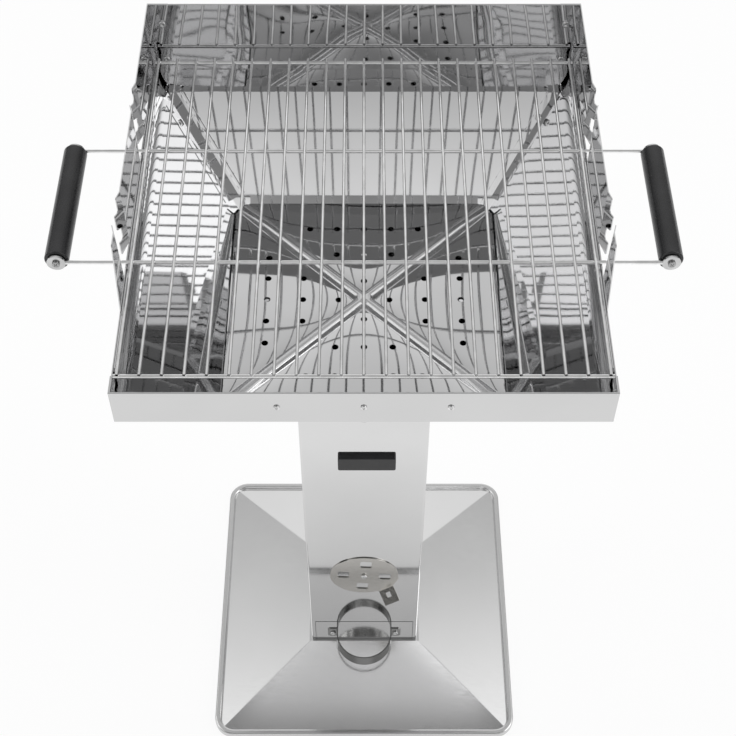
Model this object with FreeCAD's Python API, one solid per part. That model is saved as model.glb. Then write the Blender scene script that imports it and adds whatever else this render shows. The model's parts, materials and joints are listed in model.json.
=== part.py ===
import FreeCAD, Part
import math
import os

from FreeCAD import Vector

# A free-standing charcoal grill of folded stainless sheet: a stamped base, a square column with an ash
# drawer and an air damper, a four-panel funnel, a fire frame with a tall wind guard, a pierced charcoal
# tray and a wire grate with two side grips.
# Sizes are in millimetres. X runs to the right of a person facing the grill, Y runs away from them and
# Z runs up. The origin is on the floor, under the centre of the column.

# Sheet and fits
sheet = 1.0
running_gap = 0.3
hole_gap = 0.05
shaft_gap = 0.08

# Base
base_side = 406.0
base_corner_radius = 27.0
base_height = 35.0
rim_height = 10.0
rim_width = 8.0
rim_round = 2.4
rim_drop = 4.0
floor_hem_width = 7.0
base_top_margin = 3.0
base_ridge_round = 5.0

# Column
column_width = 146.0
column_height = 530.0
column_corner_radius = 3.0
rear_flange_width = 16.0
foot_flange_width = 14.0
foot_flange_length = 112.0
foot_bolt_spread = 80.0
column_rivet_pitch = 190.0

# Funnel
neck_height = 22.0
neck_flange_width = 118.0
funnel_rise = 197.0
side_bend_width = 9.0
front_ledge_width = 18.0
rear_ledge_width = 5.0
low_upstand_height = 28.0
side_upstand_height = 42.0
upstand_hem = 6.0
upstand_length = 400.0
seam_width = 14.0
seam_screw_depth = 22.0
seam_screw_rise = 34.0

# Fire frame
frame_width = 456.0
frame_depth = 458.0
frame_setback = 3.0
apron_height = 43.0
apron_wrap = 20.0
lip_setback = 2.0
hem_height = 6.0
hem_round = 0.8
guard_height = 115.0
guard_front_run = 112.0
guard_slope_run = 16.0
guard_corner_round = 3.0
return_width = 22.0
return_bolt_drop = 25.0
return_bolt_pitch = 47.0
rivet_height = 22.0
apron_rivet_pitch = 79.0
side_rivet_height = 29.0
side_rivet_pitch = 150.0
side_rivet_offset = 10.0

# Slots that hold the grate's rods, and the turned-out flap with two rod rests behind each
slot_floor_height = 46.7
rear_slot_reach = 14.0
front_slot_reach = 18.0
front_slot_lean = 5.5
slot_corner_round = 2.0
flap_fold_reach = 28.5
flap_turn = 16.0
flap_length = 18.5
flap_throat = 10.0
flap_round = 2.0
low_rest_rise = 17.5
low_rest_opening = 13.0
high_rest_rise = 53.0
rest_dip = 2.0
lug_length = 9.5
lug_height = 5.0
lug_turn = 15.0

# Grate
bar_count = 23
bar_pitch = 20.1
bar_diameter = 3.0
cross_diameter = 4.0
cross_length = 450.0
grate_depth = 428.5
rod_diameter = 4.0
rod_spacing = 153.0
grip_offset = 294.0
grip_diameter = 23.5
grip_end_gap = 0.1
grip_round = 1.5
eye_diameter = 18.0
eye_thickness = 3.0

# Charcoal tray
tray_width = 288.0
tray_depth = 288.0
tray_sheet = 1.2
tray_lip_height = 8.0
tray_corner_cut = 16.0
rib_width = 16.0
rib_top_width = 9.0
rib_height = 5.0
rib_crest_round = 3.5
rib_end_margin = 1.0
ash_hole_diameter = 7.0
ash_hole_pitch = 30.0
ash_row_start = 27.0
ash_row_pitch = 38.3
ash_row_counts = (1, 3, 5)

# Ash drawer
drawer_opening_height = 51.5
drawer_opening_margin = 6.2
drawer_slit = 0.5
drawer_top_gap = 1.4
drawer_rise = 6.0
drawer_wall_height = 38.0
drawer_length = 124.0
drawer_side_gap = 1.3
rail_width = 11.0
rail_height = 13.0
rail_length = 124.0
strap_height = 20.0
strap_thickness = 1.5
strap_loop_radius = 37.5
strap_leg = 8.0
strap_foot = 14.0
strap_foot_radius = 4.0
strap_rise = 22.0

# Air damper
damper_height = 213.0
damper_radius = 44.0
air_slot_size = 15.0
air_slot_radius = 27.0
air_slot_round = 2.0
air_slot_turn = -5.0
tab_angle = -50.0
tab_width = 23.5
tab_length = 21.0
tab_bend = 50.0
tab_hole_reach = 0.42
tab_hole = 7.0

# Fasteners
screw_diameter = 4.0
screw_head_diameter = 7.6
screw_head_height = 2.4
nut_width = 7.0
nut_height = 3.0
rivet_diameter = 4.0
rivet_head_diameter = 6.4
rivet_head_height = 1.6
rivet_tail_height = 1.2
grip_bolt_diameter = 5.0

# Heights and half widths that follow from the values above
base_half = base_side / 2
column_half = column_width / 2
column_inner = column_half - sheet
column_top = base_height + column_height
neck_bottom = column_top - neck_height
neck_half = column_inner - sheet
ledge_base = column_top + funnel_rise
frame_bottom = ledge_base - sheet
frame_half_x = frame_width / 2
frame_half_y = frame_depth / 2
inner_half_x = frame_half_x - sheet
inner_half_y = frame_half_y - sheet
apron_top = frame_bottom + apron_height
guard_top = frame_bottom + guard_height
slot_floor = frame_bottom + slot_floor_height
side_lip = side_bend_width - lip_setback
front_lip = front_ledge_width - lip_setback
rear_lip = rear_ledge_width - lip_setback
bowl_half_x = inner_half_x - side_bend_width
bowl_front = inner_half_y - frame_setback - front_ledge_width
bowl_rear = inner_half_y + frame_setback - rear_ledge_width
slope_x = (bowl_half_x - neck_half) / funnel_rise
slope_front = (bowl_front - neck_half) / funnel_rise
slope_rear = (bowl_rear - neck_half) / funnel_rise
wall_run_x = sheet * math.hypot(1.0, slope_x)
side_slope_angle = math.atan(slope_x)
side_upstand_inner = inner_half_x - 2 * sheet
side_bend_radius = (side_upstand_inner - bowl_half_x) / (1 - math.cos(side_slope_angle))
side_bend_top = ledge_base + side_bend_radius * math.sin(side_slope_angle)
side_slope_top = ledge_base - 2 * sheet
side_slope_rise = side_slope_top - column_top
side_slope_reach = neck_half + slope_x * side_slope_rise
rod_height = slot_floor + running_gap + rod_diameter / 2
cross_height = rod_height - rod_diameter / 2 + cross_diameter / 2
bar_height = cross_height + (cross_diameter + bar_diameter) / 2
front_contact = running_gap * math.hypot(1.0, slope_front)
rear_contact = running_gap * math.hypot(1.0, slope_rear)
tray_rise = (tray_depth + front_contact + rear_contact - 2 * neck_half) / (slope_front + slope_rear)
tray_base = column_top + tray_rise
tray_centre = neck_half + slope_rear * tray_rise - rear_contact - tray_depth / 2
rail_top = base_height + drawer_rise
drawer_base = rail_top + running_gap
rail_front = -column_inner + column_corner_radius
drawer_half = column_half - drawer_opening_margin - drawer_side_gap
strap_centre = base_height + strap_rise


# Shared shapes

def block(x0, x1, y0, y1, z0, z1):
    """A box between two corners."""
    corner = Vector(min(x0, x1), min(y0, y1), min(z0, z1))
    return Part.makeBox(abs(x1 - x0), abs(y1 - y0), abs(z1 - z0), corner)


def rounded_outline(half_x, half_y, radius, z):
    """A closed wire round a rectangle with round corners."""
    box = Part.makeBox(2 * half_x, 2 * half_y, 1.0, Vector(-half_x, -half_y, z))
    uprights = [edge for edge in box.Edges if abs(edge.tangentAt(edge.FirstParameter).z) > 0.9]
    solid = box.makeFillet(radius, uprights)
    floor = min(solid.Faces, key=lambda face: face.CenterOfMass.z)
    return floor.OuterWire


def rounded_prism(half_x, half_y, radius, z0, z1):
    """An upright prism with round corners."""
    face = Part.Face(rounded_outline(half_x, half_y, radius, z0))
    return face.extrude(Vector(0, 0, z1 - z0))


def flat_plate(points, thickness):
    """A plate of the given thickness (a vector) on a closed run of straight edges."""
    wire = Part.makePolygon(points + points[:1])
    return Part.Face(wire).extrude(thickness)


def taper(low, high):
    """A solid with flat sides between two rectangles, each (x0, x1, y0, y1, z)."""
    outlines = []
    for x0, x1, y0, y1, z in (low, high):
        corners = [Vector(x0, y0, z), Vector(x1, y0, z), Vector(x1, y1, z), Vector(x0, y1, z)]
        outlines.append(Part.makePolygon(corners + corners[:1]))
    return Part.makeLoft(outlines, True, True)


def rod(start, end, diameter):
    """A round bar between two points."""
    along = end - start
    return Part.makeCylinder(diameter / 2, along.Length, start, along)


def hex_prism(centre, axis, width, height):
    """A six-sided prism that stands on a point, along an axis."""
    radius = width / math.sqrt(3.0)
    corners = [Vector(radius * math.cos(math.radians(60 * i)), radius * math.sin(math.radians(60 * i)), 0)
               for i in range(6)]
    solid = flat_plate(corners, Vector(0, 0, height))
    solid.Placement = FreeCAD.Placement(centre, FreeCAD.Rotation(Vector(0, 0, 1), axis))
    return solid


def screw(seat, inward, grip, diameter=screw_diameter):
    """A cheese-head screw whose head stands on a seat and whose shank runs inward past its nut."""
    reach = grip + nut_height + sheet
    shank = Part.makeCylinder(diameter / 2, reach, seat, inward)
    head = Part.makeCylinder(screw_head_diameter / 2, screw_head_height, seat, inward * -1)
    return shank.fuse(head).removeSplitter()


def nut(seat, inward, grip, diameter=screw_diameter, width=nut_width):
    """The nut of such a screw, on the far side of what it grips."""
    centre = seat + inward * grip
    body = hex_prism(centre, inward, width, nut_height)
    hole = Part.makeCylinder(diameter / 2 + hole_gap, nut_height, centre, inward)
    return body.cut(hole)


def rivet(seat, inward, grip):
    """A blind rivet with a flat head outside and a short plain tail inside."""
    shank = Part.makeCylinder(rivet_diameter / 2, grip + rivet_tail_height, seat, inward)
    head = Part.makeCylinder(rivet_head_diameter / 2, rivet_head_height, seat, inward * -1)
    return shank.fuse(head).removeSplitter()


def drill(solid, seats, axis, diameter, depth=4 * sheet):
    """Cut round holes through a sheet, centred on its seats along an axis."""
    tools = []
    for seat in seats:
        tools.append(Part.makeCylinder(diameter / 2 + hole_gap, 2 * depth, seat - axis * depth, axis))
    return solid.cut(tools)


def outer_y(sy):
    """The outer face of the fire frame, in front (sy = -1) or behind (sy = 1)."""
    return frame_setback + sy * frame_half_y


def inner_y(sy):
    """The inner face of the fire frame, in front or behind."""
    return frame_setback + sy * inner_half_y


def bowl_reach(sy):
    """How far the bowl's mouth reaches from the column's axis, to the front or the rear."""
    return bowl_front if sy < 0 else bowl_rear


def slope_y(sy):
    """How far the front or rear funnel panel runs outward for each unit of height."""
    return slope_front if sy < 0 else slope_rear


def wall_run_y(sy):
    """The level thickness of the front or rear funnel panel."""
    return sheet * math.hypot(1.0, slope_y(sy))


def rod_y(sy):
    """The centre line of the front or rear handle rod."""
    return frame_setback + sy * rod_spacing / 2


def save(name, solids):
    """Write one node."""
    shape = solids[0] if len(solids) == 1 else Part.makeCompound(solids)
    shape.exportStep("parts/" + name + ".step")


# Where the fasteners sit

def foot_bolt_seats():
    """Bolts that hold the column's foot flanges to the base, one near each end of each flange."""
    x = column_inner - foot_flange_width / 2
    y = foot_bolt_spread / 2
    return [Vector(sx * x, sy * y, base_height + sheet) for sx in (-1, 1) for sy in (-1, 1)]


def column_rivet_seats(side):
    """Rivets down one side of the column, through the rear panel's flange."""
    y = column_inner - rear_flange_width / 2
    middle = base_height + column_height / 2
    return [Vector(side * column_half, y, middle + i * column_rivet_pitch) for i in (-1, 0, 1)]


def rail_rivet_seats(side):
    """Two rivets through each drawer rail."""
    z = rail_top + rail_height * 0.6
    return [Vector(side * column_half, rail_front + rail_length * part, z) for part in (0.2, 0.8)]


def neck_screw_seats(direction):
    """The screw through one face of the column's top and the funnel's neck flange."""
    return [direction * column_half + Vector(0, 0, column_top - neck_height * 0.45)]


def long_rivet_seats(sy):
    """Three rivets through the apron or the rear wall and the funnel's upstand."""
    return [Vector(i * apron_rivet_pitch, outer_y(sy), frame_bottom + rivet_height) for i in (-1, 0, 1)]


def side_rivet_seats(sx):
    """Two rivets through a side wall and the funnel's upstand."""
    z = frame_bottom + side_rivet_height
    reach = side_rivet_pitch / 2
    return [Vector(sx * frame_half_x, side_rivet_offset + i * reach, z) for i in (-1, 1)]


def corner_rivet_seats(side):
    """Two rivets through the apron's wrapped end and the side wall."""
    y = outer_y(-1) + apron_wrap * 0.6
    heights = (frame_bottom + apron_height * 0.3, frame_bottom + apron_height * 0.7)
    return [Vector(side * (frame_half_x + sheet), y, z) for z in heights]


def return_bolt_seats(side):
    """Two bolts through the side wall's rear return and the rear wall."""
    x = side * (frame_half_x - return_width * 0.62)
    top = guard_top - return_bolt_drop
    return [Vector(x, inner_y(1), top - return_bolt_pitch * i) for i in (0, 1)]


def seam_seats():
    """The screws along the funnel's four seams, with the front or rear panel's normal at each."""
    seats = []
    for sy in (-1, 1):
        normal = Vector(0, sy, -slope_y(sy))
        normal.normalize()
        for sx in (-1, 1):
            for z in (ledge_base - seam_screw_depth, column_top + seam_screw_rise):
                rise = z - column_top
                x = neck_half + slope_x * rise - seam_width / 2
                y = neck_half + slope_y(sy) * rise
                on_panel = Vector(sx * x, sy * y, z)
                seats.append((on_panel - normal * sheet, normal))
    return seats


# Base

def round_ridges(solid, radius):
    """Round the four sloping ridges of a low pyramid."""
    ridges = [edge for edge in solid.Edges
              if edge.BoundBox.ZLength > radius and edge.BoundBox.XLength > radius]
    return solid.makeFillet(radius, ridges)


def base_plate():
    """The stamped base: a hollow rim bead, a floor hem and a low pyramid up to the column's foot."""
    radius = base_corner_radius
    foot = rim_height - rim_drop
    inner_half = base_half - rim_width
    rim = rounded_prism(base_half, base_half, radius, 0, rim_height)
    rim = rim.cut(rounded_prism(inner_half, inner_half, radius - rim_width, 0, rim_height))
    crown = [edge for edge in rim.Edges if edge.BoundBox.ZMin > rim_height - 0.01]
    rim = rim.makeFillet(rim_round, crown)
    hollow = rounded_prism(base_half - sheet, base_half - sheet, radius - sheet, 0, rim_height - sheet)
    core = rounded_prism(inner_half + sheet, inner_half + sheet, radius - rim_width + sheet, 0, rim_height)
    hollow = hollow.cut(core)
    roof = [edge for edge in hollow.Edges if edge.BoundBox.ZMin > rim_height - sheet - 0.01]
    hollow = hollow.makeFillet(rim_round - sheet, roof)
    rim = rim.cut(hollow)
    below_pyramid = rounded_prism(base_half - sheet, base_half - sheet, radius - sheet, 0, foot - 2 * sheet)
    rim = rim.cut(below_pyramid)
    hem = rounded_prism(base_half, base_half, radius, 0, sheet)
    hem_inner = base_half - floor_hem_width
    hem = hem.cut(rounded_prism(hem_inner, hem_inner, radius - floor_hem_width, 0, sheet))
    top_half = column_half + base_top_margin
    slope = (base_height - foot) / (inner_half - top_half)
    spread = 2 * sheet
    low_half = inner_half + spread
    low = foot - slope * spread
    shell = taper((-low_half, low_half, -low_half, low_half, low),
                  (-top_half, top_half, -top_half, top_half, base_height))
    under = taper((-low_half, low_half, -low_half, low_half, low - sheet),
                  (-top_half, top_half, -top_half, top_half, base_height - sheet))
    shell = round_ridges(shell, base_ridge_round)
    under = round_ridges(under, base_ridge_round - sheet)
    inner_radius = radius - rim_width + sheet / 2
    bound = rounded_prism(inner_half + sheet / 2, inner_half + sheet / 2, inner_radius, 0, base_height)
    pyramid = shell.cut(under).common(bound)
    plate = rim.fuse([hem, pyramid]).removeSplitter()
    return drill(plate, foot_bolt_seats(), Vector(0, 0, 1), screw_diameter)


# Column

def air_slot(angle):
    """A tool for one air slot, on a circle round the damper's screw, that cuts along Y."""
    half = air_slot_size / 2
    tool = rounded_prism(half, half, air_slot_round, -4 * sheet, 4 * sheet)
    tool.rotate(Vector(0, 0, 0), Vector(1, 0, 0), 90)
    tool.translate(Vector(air_slot_radius, 0, 0))
    tool.rotate(Vector(0, 0, 0), Vector(0, 1, 0), -angle)
    tool.translate(Vector(0, -column_half, damper_height))
    return tool


def column_front_shell():
    """The front and both sides of the column in one folded sheet, with inward foot flanges."""
    outer = block(-column_half, column_half, -column_half, column_inner, base_height, column_top)
    front = [edge for edge in outer.Edges
             if edge.BoundBox.ZLength > column_height / 2 and edge.BoundBox.YMax < 0]
    outer = outer.makeFillet(column_corner_radius, front)
    hollow = block(-column_inner, column_inner, -column_inner, column_half, base_height, column_top)
    bends = [edge for edge in hollow.Edges
             if edge.BoundBox.ZLength > column_height / 2 and edge.BoundBox.YMax < 0]
    hollow = hollow.makeFillet(column_corner_radius - sheet, bends)
    shell = outer.cut(hollow)
    flange_half = foot_flange_length / 2
    flanges = []
    for side in (-1, 1):
        flanges.append(block(side * column_inner, side * (column_inner - foot_flange_width),
                             -flange_half, flange_half, base_height, base_height + sheet))
    shell = shell.fuse(flanges).removeSplitter()
    opening_half = column_half - drawer_opening_margin
    shell = shell.cut(block(-opening_half, opening_half, -column_half, -column_inner,
                            base_height, base_height + drawer_opening_height))
    shell = shell.cut([air_slot(45 + 90 * i) for i in range(4)])
    damper_seat = Vector(0, -column_half, damper_height)
    shell = drill(shell, [damper_seat], Vector(0, 1, 0), screw_diameter)
    shell = drill(shell, foot_bolt_seats(), Vector(0, 0, 1), screw_diameter)
    for side in (-1, 1):
        across = Vector(side, 0, 0)
        shell = drill(shell, column_rivet_seats(side) + rail_rivet_seats(side), across, rivet_diameter)
        shell = drill(shell, neck_screw_seats(across), across, screw_diameter)
    ahead = Vector(0, -1, 0)
    return drill(shell, neck_screw_seats(ahead), ahead, screw_diameter)


def column_rear_panel():
    """The flat back of the column, with two flanges that lie inside the shell's sides."""
    panel = block(-column_half, column_half, column_inner, column_half, base_height, column_top)
    flanges = []
    for side in (-1, 1):
        flanges.append(block(side * column_inner, side * (column_inner - sheet),
                             column_inner - rear_flange_width, column_inner,
                             base_height + 2 * sheet, neck_bottom - sheet))
    panel = panel.fuse(flanges).removeSplitter()
    for side in (-1, 1):
        panel = drill(panel, column_rivet_seats(side), Vector(side, 0, 0), rivet_diameter)
    behind = Vector(0, 1, 0)
    return drill(panel, neck_screw_seats(behind), behind, screw_diameter)


def drawer_rail(side):
    """An angle rail that carries one edge of the ash drawer."""
    back = rail_front + rail_length
    leg = block(side * column_inner, side * (column_inner - sheet), rail_front, back,
                rail_top - sheet, rail_top + rail_height)
    shelf = block(side * column_inner, side * (column_inner - rail_width), rail_front, back,
                  rail_top - sheet, rail_top)
    rail = leg.fuse(shelf).removeSplitter()
    return drill(rail, rail_rivet_seats(side), Vector(side, 0, 0), rivet_diameter)


# Ash drawer

def strap_screw_seats():
    """The two screws through the strap handle's feet."""
    x = strap_loop_radius + strap_foot / 2 - strap_thickness
    return [Vector(side * x, -column_half - strap_thickness, strap_centre) for side in (-1, 1)]


def drawer_box():
    """The open-topped tray that catches the ash."""
    front = -column_inner
    back = front + drawer_length
    top = drawer_base + drawer_wall_height
    outer = block(-drawer_half, drawer_half, front, back, drawer_base, top)
    inner_x = drawer_half - sheet
    hollow = block(-inner_x, inner_x, front + sheet, back - sheet, drawer_base + sheet, top)
    return drill(outer.cut(hollow), strap_screw_seats(), Vector(0, 1, 0), screw_diameter)


def drawer_front():
    """The drawer's front, flush with the column's face."""
    half = column_half - drawer_opening_margin - drawer_slit
    top = base_height + drawer_opening_height - drawer_top_gap
    plate = block(-half, half, -column_half, -column_inner, base_height + drawer_slit, top)
    return drill(plate, strap_screw_seats(), Vector(0, 1, 0), screw_diameter)


def drawer_strap():
    """The strap handle: one bent strip, a half ring on two short legs with a rounded foot on each."""
    face = -column_half
    low = strap_centre - strap_height / 2
    outer_radius = strap_loop_radius
    inner_radius = strap_loop_radius - strap_thickness
    centre_y = face - strap_leg
    lift = Vector(0, 0, strap_height)
    outline = []
    for radius in (outer_radius, inner_radius):
        left = Vector(-radius, centre_y, low)
        right = Vector(radius, centre_y, low)
        tip = Vector(0, centre_y - radius, low)
        bow = Part.Arc(left, tip, right).toShape()
        legs = [Part.makeLine(Vector(-radius, face, low), left),
                Part.makeLine(right, Vector(radius, face, low))]
        close = Part.makeLine(Vector(radius, face, low), Vector(-radius, face, low))
        wire = Part.Wire([legs[0], bow, legs[1], close])
        outline.append(Part.Face(wire).extrude(lift))
    loop = outline[0].cut(outline[1])
    feet = []
    for side in (-1, 1):
        inner_x = inner_radius
        outer_x = inner_x + strap_foot
        foot = block(side * inner_x, side * outer_x, face - strap_thickness, face, low, low + strap_height)
        ends = [edge for edge in foot.Edges
                if edge.BoundBox.YLength > strap_thickness / 2 and abs(edge.CenterOfMass.x) > outer_x - 0.01]
        feet.append(foot.makeFillet(strap_foot_radius, ends))
    strap = loop.fuse(feet).removeSplitter()
    return drill(strap, strap_screw_seats(), Vector(0, 1, 0), screw_diameter)


# Air damper

def damper_disc():
    """The round damper with four air slots, a turned-out tab and a hole for its screw."""
    back = -column_half - running_gap
    centre = Vector(0, back, damper_height)
    ahead = Vector(0, -1, 0)
    disc = Part.makeCylinder(damper_radius, sheet, centre, ahead)
    angle = math.radians(tab_angle)
    outward = Vector(math.cos(angle), 0, math.sin(angle))
    across = Vector(-math.sin(angle), 0, math.cos(angle))
    half = tab_width / 2
    start = math.sqrt(damper_radius ** 2 - half ** 2) - 2 * sheet
    bend = centre + outward * (damper_radius + sheet)
    root = centre + outward * start
    neck = flat_plate([root - across * half, root + across * half,
                       bend + across * half, bend - across * half], ahead * sheet)
    lean = math.radians(tab_bend)
    rise = outward * math.cos(lean) + ahead * math.sin(lean)
    side_in = outward * -math.sin(lean) + ahead * math.cos(lean)
    tip = bend + rise * tab_length
    tab = flat_plate([bend - across * half, bend + across * half,
                      tip + across * half, tip - across * half], side_in * sheet)
    middle = bend + rise * (tab_length * tab_hole_reach)
    hole_half = tab_hole / 2
    hole_points = [middle + across * (i * hole_half) + rise * (j * hole_half)
                   for i, j in ((-1, -1), (1, -1), (1, 1), (-1, 1))]
    tab = tab.cut(flat_plate([point - side_in * sheet for point in hole_points], side_in * (3 * sheet)))
    disc = disc.fuse([neck, tab]).removeSplitter()
    disc = disc.cut([air_slot(air_slot_turn + 90 * i) for i in range(4)])
    hole = Part.makeCylinder(screw_diameter / 2 + shaft_gap, 4 * sheet, centre - ahead * sheet, ahead)
    return disc.cut(hole)


def damper_screw_seat():
    """The underside of the damper screw's head, a running gap off the disc."""
    return Vector(0, -column_half - sheet - 2 * running_gap, damper_height)


# Funnel

def funnel_long_panel(sy):
    """The front (sy = -1) or rear (sy = 1) panel: upstand, ledge, slope and neck flange."""
    low_x = neck_half + wall_run_x
    high_x = bowl_half_x + wall_run_x
    mouth = bowl_reach(sy)
    run = wall_run_y(sy)
    low_y = sorted((sy * neck_half, sy * (neck_half + run)))
    high_y = sorted((sy * mouth, sy * (mouth + run)))
    slope = taper((-low_x, low_x, low_y[0], low_y[1], column_top),
                  (-high_x, high_x, high_y[0], high_y[1], ledge_base))
    back = inner_y(sy)
    ledge = block(-inner_half_x, inner_half_x, sy * mouth, back, ledge_base, ledge_base + sheet)
    half = upstand_length / 2
    upstand = block(-half, half, back - sy * sheet, back, ledge_base, ledge_base + low_upstand_height)
    neck_x = neck_flange_width / 2
    neck = block(-neck_x, neck_x, sy * neck_half, sy * column_inner, neck_bottom, column_top)
    panel = slope.fuse([ledge, upstand, neck]).removeSplitter()
    direction = Vector(0, sy, 0)
    panel = drill(panel, long_rivet_seats(sy), direction, rivet_diameter)
    panel = drill(panel, neck_screw_seats(direction), direction, screw_diameter)
    for seat, normal in seam_seats():
        if normal.y * sy > 0:
            panel = drill(panel, [seat], normal, screw_diameter)
    return panel


def side_bend(sx):
    """The wide soft bend in which a side panel turns from its slope into its upright edge."""
    front = 2 * sheet - bowl_front
    rear = bowl_rear - 2 * sheet
    centre_x = side_upstand_inner - side_bend_radius
    arcs = []
    for radius in (side_bend_radius, side_bend_radius + sheet):
        points = []
        for angle in (side_slope_angle, side_slope_angle / 2, 0.0):
            x = centre_x + radius * math.cos(angle)
            z = side_bend_top - radius * math.sin(angle)
            points.append(Vector(sx * x, front, z))
        arcs.append(Part.Arc(points[0], points[1], points[2]).toShape())
    inner, outer = arcs
    root_in = Vector(sx * side_slope_reach, front, side_slope_top)
    root_out = root_in + Vector(sx * wall_run_x, 0, 0)
    low_in, high_in = [vertex.Point for vertex in inner.Vertexes]
    low_out, high_out = [vertex.Point for vertex in outer.Vertexes]
    lines = [Part.makeLine(root_in, low_in), Part.makeLine(high_in, high_out),
             Part.makeLine(low_out, root_out), Part.makeLine(root_out, root_in)]
    outline = Part.Wire([lines[0], inner, lines[1], outer, lines[2], lines[3]])
    return Part.Face(outline).extrude(Vector(0, rear - front, 0))


def funnel_side_panel(sx):
    """The left (sx = -1) or right (sx = 1) panel, with a seam strip on the front and rear panels."""
    low_x = sorted((sx * neck_half, sx * (neck_half + wall_run_x)))
    high_x = sorted((sx * side_slope_reach, sx * (side_slope_reach + wall_run_x)))
    high_front = -neck_half - slope_front * side_slope_rise
    high_rear = neck_half + slope_rear * side_slope_rise
    slope = taper((low_x[0], low_x[1], -neck_half, neck_half, column_top),
                  (high_x[0], high_x[1], high_front, high_rear, side_slope_top))
    strips = []
    for sy in (-1, 1):
        ends = []
        run = wall_run_y(sy)
        corners = ((neck_half, neck_half, column_top), (bowl_half_x, bowl_reach(sy), ledge_base))
        for reach_x, reach_y, z in corners:
            xs = sorted((sx * (reach_x - seam_width), sx * (reach_x + wall_run_x)))
            ys = sorted((sy * (reach_y - run), sy * reach_y))
            ends.append((xs[0], xs[1], ys[0], ys[1], z))
        strips.append(taper(ends[0], ends[1]))
    face = inner_half_x - sheet
    half = upstand_length / 2
    front = frame_setback - half
    rear = frame_setback + half
    top = ledge_base + side_upstand_height
    upstand = block(sx * side_upstand_inner, sx * face, front, rear, side_bend_top, top)
    hem = block(sx * face, sx * inner_half_x, front, rear, top - upstand_hem, top)
    upstand = upstand.fuse(hem).removeSplitter()
    top_edges = [edge for edge in upstand.Edges
                 if edge.BoundBox.ZMin > top - 0.01 and edge.BoundBox.YLength > half]
    upstand = upstand.makeFillet(hem_round, top_edges)
    neck_y = neck_flange_width / 2
    neck = block(sx * neck_half, sx * column_inner, -neck_y, neck_y, neck_bottom, column_top)
    panel = slope.fuse(strips + [side_bend(sx), upstand, neck]).removeSplitter()
    direction = Vector(sx, 0, 0)
    panel = drill(panel, side_rivet_seats(sx), direction, rivet_diameter)
    panel = drill(panel, neck_screw_seats(direction), direction, screw_diameter)
    for seat, normal in seam_seats():
        if seat.x * sx > 0:
            panel = drill(panel, [seat], normal, screw_diameter)
    return panel


# Fire frame

def round_top(sheet_piece, top):
    """Round the long top edges of a hemmed sheet."""
    edges = [edge for edge in sheet_piece.Edges
             if edge.BoundBox.ZMin > top - 0.01 and edge.BoundBox.XLength > upstand_length]
    return sheet_piece.makeFillet(hem_round, edges)


def front_apron():
    """The low front of the fire frame: hemmed on top, lipped below and wrapped round both ends."""
    end = frame_half_x + sheet
    front = outer_y(-1)
    back = inner_y(-1)
    face = block(-end, end, front, back, frame_bottom, apron_top)
    wraps = [block(side * frame_half_x, side * end, front, front + apron_wrap, frame_bottom, apron_top)
             for side in (-1, 1)]
    hem = block(-inner_half_x, inner_half_x, back, back + sheet, apron_top - hem_height, apron_top)
    lip = block(-inner_half_x, inner_half_x, back, back + front_lip, frame_bottom, ledge_base)
    apron = round_top(face.fuse(wraps + [hem, lip]).removeSplitter(), apron_top)
    ahead = Vector(0, -1, 0)
    apron = drill(apron, long_rivet_seats(-1), ahead, rivet_diameter)
    for side in (-1, 1):
        apron = drill(apron, corner_rivet_seats(side), Vector(side, 0, 0), rivet_diameter)
    return apron


def slot_flap(side, centre):
    """The flap behind a slot: turned out from the wall, its free edge cut with two rests for a rod."""
    turn = math.radians(flap_turn)
    fold = Vector(side * inner_half_x, centre + flap_fold_reach, 0)
    along = Vector(side * math.sin(turn), -math.cos(turn), 0)
    out = Vector(side * math.cos(turn), math.sin(turn), 0)
    low_rest = slot_floor + low_rest_rise
    high_rest = slot_floor + high_rest_rise
    profile = [(0, slot_floor + sheet), (flap_length, slot_floor + sheet),
               (flap_length, low_rest), (flap_throat, low_rest - rest_dip),
               (flap_throat, low_rest + low_rest_opening),
               (flap_length, low_rest + low_rest_opening + 2 * rest_dip),
               (flap_length, high_rest), (flap_throat, high_rest - rest_dip),
               (flap_throat, guard_top), (0, guard_top)]
    flap = flat_plate([fold + along * s + Vector(0, 0, z) for s, z in profile], out * sheet)
    corners = []
    for edge in flap.Edges:
        offset = edge.CenterOfMass - fold
        if abs(edge.Length - sheet) < 0.01 and offset.dot(along) > flap_throat / 2:
            corners.append(edge)
    return flap.makeFillet(flap_round, corners)


def slot_lug(side, top_y):
    """The small lug at the top of a slot's front edge, turned out over the slot."""
    turn = math.radians(lug_turn)
    root = Vector(side * inner_half_x, top_y, 0)
    along = Vector(side * math.sin(turn), math.cos(turn), 0)
    out = Vector(side * math.cos(turn), -math.sin(turn), 0)
    low = guard_top - lug_height
    profile = [(0, low), (lug_length, low), (lug_length, guard_top), (0, guard_top)]
    return flat_plate([root + along * s + Vector(0, 0, z) for s, z in profile], out * sheet)


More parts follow.
